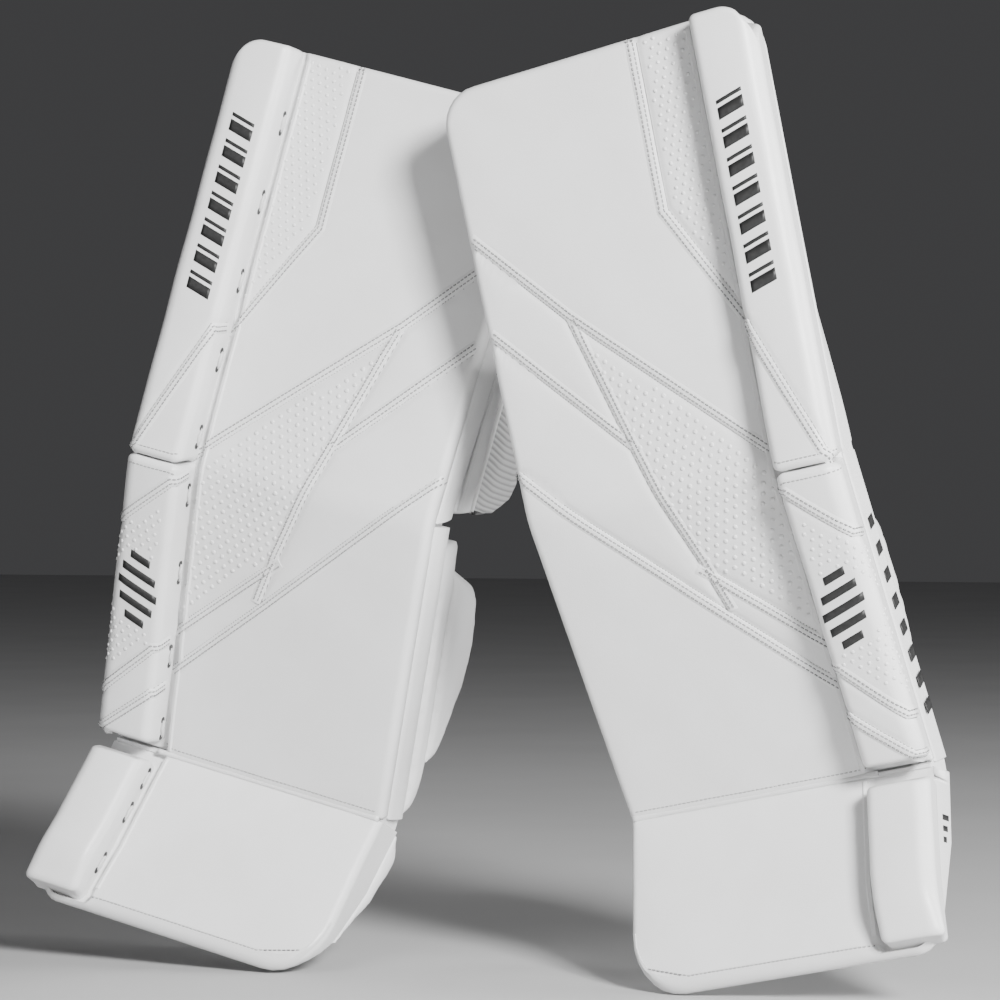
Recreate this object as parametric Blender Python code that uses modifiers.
"""A pair of ice hockey goalie leg pads, standing on their toes with the thigh ends crossed.

Each pad is built in three flat sections, shin, thigh and boot, that fold at the knee break and the
boot break. A section has its own frame: x runs across the pad from its inner edge to its outer edge,
y is the depth behind the face, and z is the height up the section from its break line. The right pad
is the left one mirrored in x. Metres and degrees, +Z up. The whole pair is centred on the origin and
stands on z = 0.
"""

import math

import bmesh
import bpy
from mathutils import Euler, Matrix, Vector

# The pad's outline
PAD_WIDTH = 0.279
SHIN_LENGTH = 0.285
THIGH_LENGTH = 0.387
BOOT_LENGTH = 0.150
TOP_WIDENING = 0.058  # the face is this much wider at the top than at the boot break
TOP_DROP = 0.007  # the top edge is lower at the inner corner
INNER_TOP_RADIUS = 0.032
OUTER_TOP_RADIUS = 0.018

# How the sections fold and how far the folds open at the back
KNEE_LEAN = 19.8
BOOT_BEND = 47.9
KNEE_MITRE = KNEE_LEAN / 2 + 4.0
BOOT_MITRE = BOOT_BEND / 2 - 7.0
BREAK_GAP = 0.0004

# The layers of the foam core, by depth behind the face
FACE_FOAM = 0.027
BOARD = 0.003
CORE_DEPTH = 0.0545
GAP = 0.0003
BOARD_INSET = 0.012
TOE_DEPTH = 0.0145
BOOT_BACK_DEPTH = 0.050
BOOT_BACK_HEIGHT = -0.054

# The toe binding under the boot foam
BINDING_HEIGHT = 0.0165
BINDING_RADIUS = 0.013

# The large rounding of the boot's inner lower corner, a quarter of an ellipse
CORNER_WIDTH = 0.048
CORNER_HEIGHT = 0.058
CORNER_TOP = CORNER_HEIGHT - BOOT_LENGTH - GAP - BINDING_HEIGHT

# The outer rolls
CREASE_AT_BREAK = 0.229
CREASE_AT_KNEE = 0.233
CREASE_AT_TOP = 0.238
ROLL_WIDTH = 0.055
ROLL_HEIGHT = 0.0295
ROLL_RADIUS = 0.012
ROLL_BULGE = 0.004

# The roll laces
LACE_RADIUS = 0.0014
LACE_POINTS = 13
LACE_SWAY = 0.0004

# The channel behind the shin
INNER_WALL_DEPTH = 0.092
INNER_WALL_TOP = 0.250
WALL_THICKNESS = 0.015
WING_THICKNESS = 0.010
WING_GAP = 0.0022
INNER_WING_X = 0.001
OUTER_WING_X = 0.245
LINER_THICKNESS = 0.015

# The knee stack and the knee wing behind the thigh
STACK_BASE_DEPTH = 0.097
STACK_WIDTH = 0.082
STACK_X = -0.006
STACK_FLARE = 0.2
KNEE_WING_X = 0.240
KNEE_CUSHION_DEPTH = 0.078

# The straps
STRAP_THICKNESS = 0.0025
KNEE_STRAP_WIDTH = 0.038
CALF_STRAP_WIDTH = 0.036
BOOT_STRAP_WIDTH = 0.030

# The toe slider on its bridge
BRIDGE_X = (0.095, 0.185)
SLIDER_X = (0.128, 0.152)
TOE_TIE_X = (0.134, 0.146)

# Where each pad's boot break meets its inner edge, and how the pad is turned
LEFT_PLACE = (0.1222, -0.0111, 0.161)
LEFT_TURN = (20.3, -11.8, -3.1)
RIGHT_PLACE = (-0.1222, 0.0111, 0.1514)
RIGHT_TURN = (13.8, 14.4, 0.3)

ARC_STEPS = 4
PARTS = "goalie_leg_pads"
WHITE = (0.82, 0.82, 0.82)

COLOURS = {
    "face_leather": (WHITE, 0.45, 0.0),
    "roll_leather": (WHITE, 0.42, 0.0),
    "wall_leather": ((0.78, 0.78, 0.78), 0.5, 0.0),
    "binding": ((0.8, 0.8, 0.8), 0.4, 0.0),
    "lace": ((0.88, 0.88, 0.88), 0.7, 0.0),
    "foam": ((0.35, 0.36, 0.38), 0.9, 0.0),
    "board": ((0.08, 0.08, 0.09), 0.6, 0.0),
    "liner": ((0.16, 0.16, 0.17), 0.95, 0.0),
    "knee_fabric": ((0.6, 0.6, 0.6), 0.9, 0.0),
    "webbing": ((0.05, 0.05, 0.055), 0.85, 0.0),
    "strap_leather": ((0.75, 0.75, 0.75), 0.5, 0.0),
    "hard_plastic": ((0.06, 0.06, 0.065), 0.35, 0.0),
}


# ---------- scene and materials ----------


def clear_scene():
    for ob in list(bpy.data.objects):
        bpy.data.objects.remove(ob, do_unlink=True)
    for collection in list(bpy.data.collections):
        bpy.data.collections.remove(collection)


def material(name):
    mat = bpy.data.materials.get(name)
    if mat:
        return mat
    colour, roughness, metallic = COLOURS[name]
    mat = bpy.data.materials.new(name)
    mat.use_nodes = True
    shader = mat.node_tree.nodes["Principled BSDF"]
    shader.inputs["Base Color"].default_value = (*colour, 1)
    shader.inputs["Roughness"].default_value = roughness
    shader.inputs["Metallic"].default_value = metallic
    return mat


def empty(name, parent, place, turn=(0, 0, 0)):
    frame = bpy.data.objects.new(name, None)
    bpy.data.collections[PARTS].objects.link(frame)
    frame.parent = parent
    frame.location = place
    frame.rotation_euler = Euler([math.radians(a) for a in turn])
    return frame


# ---------- outlines ----------


def half_width(height):
    """Half the face's width at a height above the boot break, measured up the face."""
    whole = SHIN_LENGTH + THIGH_LENGTH
    return PAD_WIDTH / 2 * (1 + TOP_WIDENING * max(0, height) / whole)


def inner_edge(height):
    return PAD_WIDTH / 2 - half_width(height)


def outer_edge(height):
    return PAD_WIDTH / 2 + half_width(height)


def arc(centre, radius, start, end, steps=ARC_STEPS):
    """Points on an arc, from angle start to end in degrees."""
    angles = [math.radians(start + (end - start) * i / steps) for i in range(steps + 1)]
    return [(centre[0] + radius * math.cos(a), centre[1] + radius * math.sin(a)) for a in angles]


def rounded_box(low, high, radius):
    """A rectangle with four rounded corners, anticlockwise."""
    x0, y0, x1, y1 = low[0] + radius, low[1] + radius, high[0] - radius, high[1] - radius
    corners = ((x1, y0, -90), (x1, y1, 0), (x0, y1, 90), (x0, y0, 180))
    return [p for x, y, start in corners for p in arc((x, y), radius, start, start + 90, 3)]


def ribbon(path, thickness):
    """The closed outline of a strap that follows a path, seen edge on."""
    points = [Vector(p) for p in path]
    sides = []
    for i, p in enumerate(points):
        ahead = points[min(i + 1, len(points) - 1)] - p
        behind = p - points[max(i - 1, 0)]
        along = (ahead.normalized() + behind.normalized()).normalized()
        across = Vector((-along.y, along.x)) * thickness / 2
        sides.append((p + across, p - across))
    return [tuple(a) for a, _ in sides] + [tuple(b) for _, b in reversed(sides)]


# ---------- solids ----------

# How a flat outline's two directions and its thickness lie in a section: columns are the outline's
# first and second direction and the direction it is extruded in.
LAY = {
    "depth": Matrix(((1, 0, 0), (0, 0, 1), (0, 1, 0))),
    "width": Matrix(((0, 0, 1), (1, 0, 0), (0, 1, 0))),
    "height": Matrix(((1, 0, 0), (0, 1, 0), (0, 0, 1))),
}


def slab(outline, axis, low, high):
    """An outline extruded along depth (outline in x, z), width (y, z) or height (x, y)."""
    curve = bpy.data.curves.new("outline", "CURVE")
    curve.dimensions = "2D"
    curve.fill_mode = "BOTH"
    curve.extrude = (high - low) / 2
    spline = curve.splines.new("POLY")
    spline.points.add(len(outline) - 1)
    for point, (u, v) in zip(spline.points, outline):
        point.co = (u, v, 0, 1)
    spline.use_cyclic_u = True
    return solid_from_curve(curve, LAY[axis], (low + high) / 2, axis)


def solid_from_curve(curve, lay=None, middle=0.0, axis=None):
    """A curve's surface as a welded mesh, laid in its section."""
    holder = bpy.data.objects.new("holder", curve)
    bpy.context.scene.collection.objects.link(holder)
    bpy.context.view_layer.update()
    depsgraph = bpy.context.evaluated_depsgraph_get()
    mesh = bpy.data.meshes.new_from_object(holder.evaluated_get(depsgraph))
    bpy.data.objects.remove(holder, do_unlink=True)
    bm = bmesh.new()
    bm.from_mesh(mesh)
    bpy.data.meshes.remove(mesh)
    bmesh.ops.remove_doubles(bm, verts=bm.verts, dist=1e-6)
    if lay:
        shift = Vector((0, 0, middle))
        bmesh.ops.translate(bm, verts=bm.verts, vec=shift)
        bmesh.ops.transform(bm, verts=bm.verts, matrix=lay.to_4x4())
        bmesh.ops.dissolve_limit(bm, angle_limit=0.01, verts=bm.verts, edges=bm.edges)
    return bm


def cut(bm, point, normal):
    """Takes away what lies beyond a plane, and closes the cut."""
    geometry = bm.verts[:] + bm.edges[:] + bm.faces[:]
    done = bmesh.ops.bisect_plane(
        bm, geom=geometry, dist=1e-7, plane_co=point, plane_no=normal, clear_outer=True
    )
    edges = [g for g in done["geom_cut"] if isinstance(g, bmesh.types.BMEdge)]
    bmesh.ops.edgeloop_fill(bm, edges=edges)


def shear(bm, function):
    """Moves each vertex along x by what the function gives for its place."""
    for v in bm.verts:
        v.co.x += function(v.co)


def add(pad, name, frame, bm, colour, rounding=0.0, segments=2):
    """One named part in a section of a pad, mirrored on the right pad."""
    if pad["mirror"] < 0:
        bmesh.ops.scale(bm, vec=(-1, 1, 1), verts=bm.verts)
    bmesh.ops.recalc_face_normals(bm, faces=bm.faces)
    mesh = bpy.data.meshes.new(f"{pad['name']}_{name}")
    bm.to_mesh(mesh)
    bm.free()
    mesh.materials.append(material(colour))
    mesh.shade_smooth()
    mesh.set_sharp_from_angle(angle=math.radians(35))
    ob = bpy.data.objects.new(f"{pad['name']}_{name}", mesh)
    bpy.data.collections[PARTS].objects.link(ob)
    ob.parent = pad[frame]
    if rounding:
        bevel = ob.modifiers.new("rounding", "BEVEL")
        bevel.width = rounding
        bevel.segments = segments
        bevel.limit_method = "ANGLE"
        bevel.angle_limit = math.radians(38)
    return ob


def slope(angle):
    return math.tan(math.radians(angle))


# ---------- frames ----------


def hinge_frame(pad, name, parent, place):
    """An empty on a hinge that stands parallel to its section, mirrored on the right pad."""
    x, y, z = place
    pad[name] = empty(f"{pad['name']}_{name}", pad[parent], (x * pad["mirror"], y, z))
    return pad[name]


def make_frames(name, mirror, place, turn):
    pad = {"name": name, "mirror": mirror}
    pad["shin"] = empty(f"{name}_shin", None, place, turn)
    pad["thigh"] = empty(f"{name}_thigh", pad["shin"], (0, 0, SHIN_LENGTH), (-KNEE_LEAN, 0, 0))
    pad["boot"] = empty(f"{name}_boot", pad["shin"], (0, 0, 0), (-BOOT_BEND, 0, 0))
    return pad


# ---------- core ----------


def thigh_outline(inset=0.0):
    """The thigh's front outline, rounded at the top, its lower end left long for the mitre."""
    base = SHIN_LENGTH
    foot = -0.004
    top = THIGH_LENGTH - inset
    inner, outer = inner_edge(base + top) + inset, outer_edge(base + top) - inset
    points = [(outer_edge(base) - inset, foot)]
    centre = (outer - OUTER_TOP_RADIUS, top - OUTER_TOP_RADIUS)
    points += arc(centre, OUTER_TOP_RADIUS, 0, 90)
    centre = (inner + INNER_TOP_RADIUS, top - TOP_DROP - INNER_TOP_RADIUS)
    points += arc(centre, INNER_TOP_RADIUS, 92, 180)
    points += [(inner_edge(base) + inset, foot)]
    return points


def shin_outline(inset=0.0):
    return [
        (outer_edge(0) - inset, -0.02),
        (outer_edge(SHIN_LENGTH) - inset, SHIN_LENGTH + 0.004),
        (inner_edge(SHIN_LENGTH) + inset, SHIN_LENGTH + 0.004),
        (inner_edge(0) + inset, -0.02),
    ]


def mitre(bm, end):
    """Cuts a section's end to the slope that lets its break fold."""
    if end == "thigh_foot":
        cut(bm, (0, 0, BREAK_GAP), (0, slope(KNEE_MITRE), -1))
    if end == "shin_top":
        cut(bm, (0, 0, SHIN_LENGTH - BREAK_GAP), (0, slope(KNEE_MITRE), 1))
    if end == "shin_foot":
        cut(bm, (0, 0, BREAK_GAP), (0, -slope(BOOT_MITRE), -1))


LAYERS = (
    ("face_foam", 0.0, FACE_FOAM, "face_leather", 0.0, 0.006),
    ("board", FACE_FOAM + GAP, FACE_FOAM + GAP + BOARD, "board", BOARD_INSET, 0.0),
    ("back_foam", FACE_FOAM + 2 * GAP + BOARD, CORE_DEPTH, "foam", 0.0, 0.0),
)


def make_thigh_core(pad):
    for name, near, far, colour, inset, rounding in LAYERS:
        bm = slab(thigh_outline(inset), "depth", near, far)
        mitre(bm, "thigh_foot")
        add(pad, f"thigh_{name}", "thigh", bm, colour, rounding)


def make_shin_core(pad):
    for name, near, far, colour, inset, rounding in LAYERS:
        bm = slab(shin_outline(inset), "depth", near, far)
        mitre(bm, "shin_top")
        mitre(bm, "shin_foot")
        add(pad, f"shin_{name}", "shin", bm, colour, rounding)


def boot_corner(start, end, steps):
    """Points of the boot's inner lower corner, from its side at 0 degrees to its foot at 90."""
    points = []
    for i in range(steps + 1):
        angle = math.radians(start + (end - start) * i / steps)
        across = CORNER_WIDTH * (1 - math.cos(angle))
        points.append((across, CORNER_TOP - CORNER_HEIGHT * math.sin(angle)))
    return points


def binding_start():
    """The angle round the corner at which the foam ends and the binding starts."""
    return math.degrees(math.asin((CORNER_TOP + BOOT_LENGTH + GAP) / CORNER_HEIGHT))


def make_boot_core(pad):
    """A wedge, thick at the boot break and thin at the toe, with the binding under it."""
    profile = [
        (0.0, -BREAK_GAP),
        (0.0, -BOOT_LENGTH),
        (TOE_DEPTH, -BOOT_LENGTH),
        (BOOT_BACK_DEPTH, BOOT_BACK_HEIGHT),
        (CORE_DEPTH, CORE_DEPTH * slope(BOOT_MITRE) - BREAK_GAP),
    ]
    bm = slab(profile, "width", 0.0, PAD_WIDTH)
    corner = boot_corner(0, binding_start(), 3)
    for (x, z), (next_x, next_z) in zip(corner, corner[1:]):
        cut(bm, (x, 0, z), (next_z - z, 0, x - next_x))
    add(pad, "boot_foam", "boot", bm, "face_leather", 0.003)


def make_toe_binding(pad):
    top = -BOOT_LENGTH - GAP
    foot = top - BINDING_HEIGHT
    r = BINDING_RADIUS
    outline = [(PAD_WIDTH, top)] + boot_corner(binding_start(), 90, 4)
    outline += arc((PAD_WIDTH - r, foot + r), r, 270, 360)
    bm = slab(outline, "depth", 0.0, TOE_DEPTH)
    add(pad, "toe_binding", "boot", bm, "binding", 0.004)


# ---------- rolls and laces ----------


def roll_section():
    """Across a roll: x from its crease, y in front of the face. It bulges past the pad's outer edge."""
    r = ROLL_RADIUS
    w = ROLL_WIDTH
    front = -ROLL_HEIGHT
    points = [(0.0, -GAP)]
    points += arc((r, front + r), r, 180, 270, 3)
    points += arc((w - r, front + r), r, 270, 360, 3)
    points += [(w, -0.007), (w - ROLL_BULGE, -GAP)]
    return points


def make_roll(pad, name, frame, ends, creases):
    """A roll from one end to the other; each end is its height at the face and at the ridge."""
    (low_face, low_ridge), (high_face, high_ridge) = ends
    low = min(low_face, low_ridge) - 0.002
    high = max(high_face, high_ridge) + 0.002
    bm = slab(roll_section(), "height", low, high)
    cut(bm, (0, 0, low_face), (0, (low_face - low_ridge) / ROLL_HEIGHT, -1))
    cut(bm, (0, 0, high_face), (0, (high_ridge - high_face) / ROLL_HEIGHT, 1))
    start, end = creases
    shear(bm, lambda co: start + (end - start) * (co.z - low_face) / (high_face - low_face))
    add(pad, name, frame, bm, "roll_leather", 0.004)


def make_rolls(pad):
    top = THIGH_LENGTH - 0.002
    creases = (CREASE_AT_KNEE, CREASE_AT_TOP)
    make_roll(pad, "thigh_roll", "thigh", ((-0.003, -0.003), (top, top)), creases)
    creases = (CREASE_AT_BREAK, CREASE_AT_KNEE)
    make_roll(pad, "shin_roll", "shin", ((0.009, 0.020), (0.274, 0.283)), creases)
    creases = (CREASE_AT_BREAK, CREASE_AT_BREAK)
    make_roll(pad, "boot_roll", "boot", ((-0.160, -0.160), (-0.010, -0.025)), creases)


def make_lace(pad, name, frame, low, high, creases):
    """The lace that pulls a roll against the face, lying in the crease between them."""
    curve = bpy.data.curves.new(name, "CURVE")
    curve.dimensions = "3D"
    curve.fill_mode = "FULL"
    curve.bevel_depth = LACE_RADIUS
    curve.bevel_resolution = 2
    curve.use_fill_caps = True
    spline = curve.splines.new("POLY")
    spline.points.add(LACE_POINTS - 1)
    for i, point in enumerate(spline.points):
        t = i / (LACE_POINTS - 1)
        crease = creases[0] + (creases[1] - creases[0]) * t
        side = LACE_SWAY * (-1) ** i
        out = LACE_RADIUS + 4 * GAP
        point.co = (crease - out + side, -out, low + (high - low) * t, 1)
    add(pad, name, frame, solid_from_curve(curve), "lace")


def make_laces(pad):
    creases = (CREASE_AT_KNEE, CREASE_AT_TOP)
    make_lace(pad, "thigh_lace", "thigh", 0.012, THIGH_LENGTH - 0.03, creases)
    creases = (CREASE_AT_BREAK, CREASE_AT_KNEE)
    make_lace(pad, "shin_lace", "shin", 0.016, SHIN_LENGTH - 0.02, creases)


# ---------- leg channel ----------


def make_channel(pad):
    back = CORE_DEPTH + GAP
    wall = [(back, -0.0155), (0.069, -0.015), (0.086, 0.0), (0.090, 0.016)]
    wall += [(INNER_WALL_DEPTH, INNER_WALL_TOP), (back, INNER_WALL_TOP)]
    bm = slab(wall, "width", -0.001, WALL_THICKNESS)
    add(pad, "shin_inner_wall", "shin", bm, "wall_leather", 0.003)

    wall = [(back + GAP, 0.0155), (0.060, 0.018), (0.086, 0.001), (0.070, BOOT_BACK_HEIGHT)]
    wall += [(0.026, -0.128), (BOOT_BACK_DEPTH + 2 * GAP, BOOT_BACK_HEIGHT)]
    bm = slab(wall, "width", 0.0005, WALL_THICKNESS)
    add(pad, "boot_inner_wall", "boot", bm, "wall_leather", 0.002)

    liner = rounded_box((0.022, 0.020), (0.238, 0.262), 0.02)
    bm = slab(liner, "depth", back, back + LINER_THICKNESS)
    add(pad, "leg_liner", "shin", bm, "liner", 0.005)


def make_calf_wings(pad):
    """Two padded flaps behind the shin, each hinged along its outer face."""
    hinge = INNER_WALL_DEPTH + WING_GAP / 2
    hinge_frame(pad, "inner_calf_wing_frame", "shin", (INNER_WING_X, hinge, 0))
    near = WING_GAP / 2
    profile = [(near, 0.222), (0.157 - hinge, 0.187), (0.168 - hinge, 0.173)]
    profile += [(0.174 - hinge, 0.148), (0.172 - hinge, 0.112), (0.161 - hinge, 0.072)]
    profile += [(0.148 - hinge, 0.051), (0.120 - hinge, 0.022), (near, 0.020)]
    bm = slab(profile, "width", 0.0, WING_THICKNESS)
    add(pad, "inner_calf_wing", "inner_calf_wing_frame", bm, "wall_leather", 0.003)

    hinge = CORE_DEPTH + WING_GAP / 2
    outside = OUTER_WING_X + WING_THICKNESS
    hinge_frame(pad, "outer_calf_wing_frame", "shin", (outside, hinge, 0))
    profile = [(near, 0.225), (0.140 - hinge, 0.190), (0.150 - hinge, 0.170)]
    profile += [(0.150 - hinge, 0.100), (0.135 - hinge, 0.060), (near, 0.025)]
    bm = slab(profile, "width", -WING_THICKNESS, 0.0)
    add(pad, "outer_calf_wing", "outer_calf_wing_frame", bm, "liner", 0.003)


# ---------- knee ----------


def flare(co):
    """The stack's inner side leans out as it gets deeper."""
    inner_side = 1 - (co.x - STACK_X) / STACK_WIDTH
    return -STACK_FLARE * max(0.0, co.y - STACK_BASE_DEPTH) * inner_side


def make_knee(pad):
    back = CORE_DEPTH + GAP
    profile = [(back, 0.016), (STACK_BASE_DEPTH, 0.020), (STACK_BASE_DEPTH, 0.150), (back, 0.150)]
    bm = slab(profile, "width", STACK_X, STACK_X + STACK_WIDTH)
    add(pad, "knee_stack_base", "thigh", bm, "wall_leather", 0.003)

    near = STACK_BASE_DEPTH + GAP
    profile = [(near, 0.020), (0.135, 0.026), (0.158, 0.042), (0.164, 0.060)]
    profile += [(0.150, 0.140), (near, 0.150)]
    bm = slab(profile, "width", STACK_X, STACK_X + STACK_WIDTH)
    shear(bm, flare)
    add(pad, "knee_stack_cap", "thigh", bm, "knee_fabric", 0.004)

    outline = rounded_box((0.082, 0.016), (0.228, 0.140), 0.02)
    bm = slab(outline, "depth", back, KNEE_CUSHION_DEPTH)
    add(pad, "knee_cushion", "thigh", bm, "liner", 0.006)

    hinge = CORE_DEPTH + WING_GAP / 2
    near = WING_GAP / 2
    outside = KNEE_WING_X + WING_THICKNESS
    hinge_frame(pad, "knee_wing_frame", "thigh", (outside, hinge, 0))
    profile = [(near, 0.020), (0.130 - hinge, 0.030), (0.145 - hinge, 0.050)]
    profile += [(0.145 - hinge, 0.110), (0.120 - hinge, 0.140), (near, 0.150)]
    bm = slab(profile, "width", -WING_THICKNESS, 0.0)
    add(pad, "knee_wing", "knee_wing_frame", bm, "liner", 0.003)


# ---------- straps ----------


def make_strap(pad, name, parent, origin, path, low, width, colour):
    """A flat strap on a hinge at the first point of its path. The path is in its section's x and y."""
    start = path[0]
    place = (start[0] - origin[0], start[1] - origin[1], 0)
    frame = f"{name}_frame"
    hinge_frame(pad, frame, parent, place)
    outline = ribbon([(x - start[0], y - start[1]) for x, y in path], STRAP_THICKNESS)
    bm = slab(outline, "height", low, low + width)
    add(pad, name, frame, bm, colour)


def make_straps(pad):
    """Each strap is sewn inside the back edge of its flap and closes on what faces it."""
    core_hinge = CORE_DEPTH + WING_GAP / 2
    origin = (KNEE_WING_X + WING_THICKNESS, core_hinge)
    path = [(0.2375, 0.132), (0.205, 0.144), (0.120, 0.149), (0.095, 0.146)]
    path += [(0.083, 0.138), (0.0805, 0.120)]
    make_strap(pad, "knee_strap", "knee_wing_frame", origin, path, 0.060, KNEE_STRAP_WIDTH, "webbing")

    origin = (OUTER_WING_X + WING_THICKNESS, core_hinge)
    path = [(0.2425, 0.136), (0.205, 0.146), (0.120, 0.151), (0.040, 0.149)]
    path += [(0.022, 0.140), (0.0175, 0.120)]
    for name, low in (("upper_calf_strap", 0.148), ("lower_calf_strap", 0.080)):
        parent = "outer_calf_wing_frame"
        make_strap(pad, name, parent, origin, path, low, CALF_STRAP_WIDTH, "webbing")

    path = [(0.245, 0.060), (0.245, 0.086), (0.225, 0.110), (0.180, 0.126), (0.130, 0.130)]
    path += [(0.070, 0.124), (0.028, 0.108), (0.007, 0.092)]
    make_strap(pad, "boot_strap", "boot", (0, 0), path, -0.050, BOOT_STRAP_WIDTH, "strap_leather")


# ---------- toe ----------


def make_toe(pad):
    """The bridge behind the toe, the slider that runs across it and the tie on the slider."""
    profile = [(0.0233, -0.128), (0.0292, -0.112), (0.0360, -0.112), (0.0300, -0.128)]
    bm = slab(profile, "width", *BRIDGE_X)
    add(pad, "toe_bridge", "boot", bm, "hard_plastic")

    middle = sum(SLIDER_X) / 2
    hinge_frame(pad, "toe_slider_frame", "boot", (middle, 0, 0))
    profile = [(0.0305, -0.1285), (0.0363, -0.1130), (0.0420, -0.1130), (0.0365, -0.1285)]
    bm = slab(profile, "width", SLIDER_X[0] - middle, SLIDER_X[1] - middle)
    add(pad, "toe_slider", "toe_slider_frame", bm, "hard_plastic")

    path = [(0.0440, -0.1140), (0.0530, -0.1040), (0.0630, -0.1060), (0.0650, -0.1140)]
    path += [(0.0560, -0.1220), (0.0420, -0.1225)]
    bm = slab(ribbon(path, STRAP_THICKNESS), "width", TOE_TIE_X[0] - middle, TOE_TIE_X[1] - middle)
    add(pad, "toe_tie", "toe_slider_frame", bm, "webbing")


def make_pad(name, mirror, place, turn):
    pad = make_frames(name, mirror, place, turn)
    make_thigh_core(pad)
    make_shin_core(pad)
    make_boot_core(pad)
    make_toe_binding(pad)
    make_rolls(pad)
    make_laces(pad)
    make_channel(pad)
    make_calf_wings(pad)
    make_knee(pad)
    make_straps(pad)
    make_toe(pad)
    return pad


def centre(pads):
    """Moves the pair so that its box stands on the origin, bottom centre."""
    bpy.context.view_layer.update()
    depsgraph = bpy.context.evaluated_depsgraph_get()
    points = []
    for ob in bpy.data.collections[PARTS].objects:
        if ob.type == "MESH":
            mesh = ob.evaluated_get(depsgraph).to_mesh()
            points += [ob.matrix_world @ v.co for v in mesh.vertices]
    low = Vector([min(p[i] for p in points) for i in range(3)])
    high = Vector([max(p[i] for p in points) for i in range(3)])
    shift = Vector((-(low.x + high.x) / 2, -(low.y + high.y) / 2, -low.z))
    for pad in pads:
        pad["shin"].location += shift


def main():
    clear_scene()
    bpy.context.scene.collection.children.link(bpy.data.collections.new(PARTS))
    left = make_pad("left", 1, LEFT_PLACE, LEFT_TURN)
    right = make_pad("right", -1, RIGHT_PLACE, RIGHT_TURN)
    centre((left, right))
    return left, right


main()
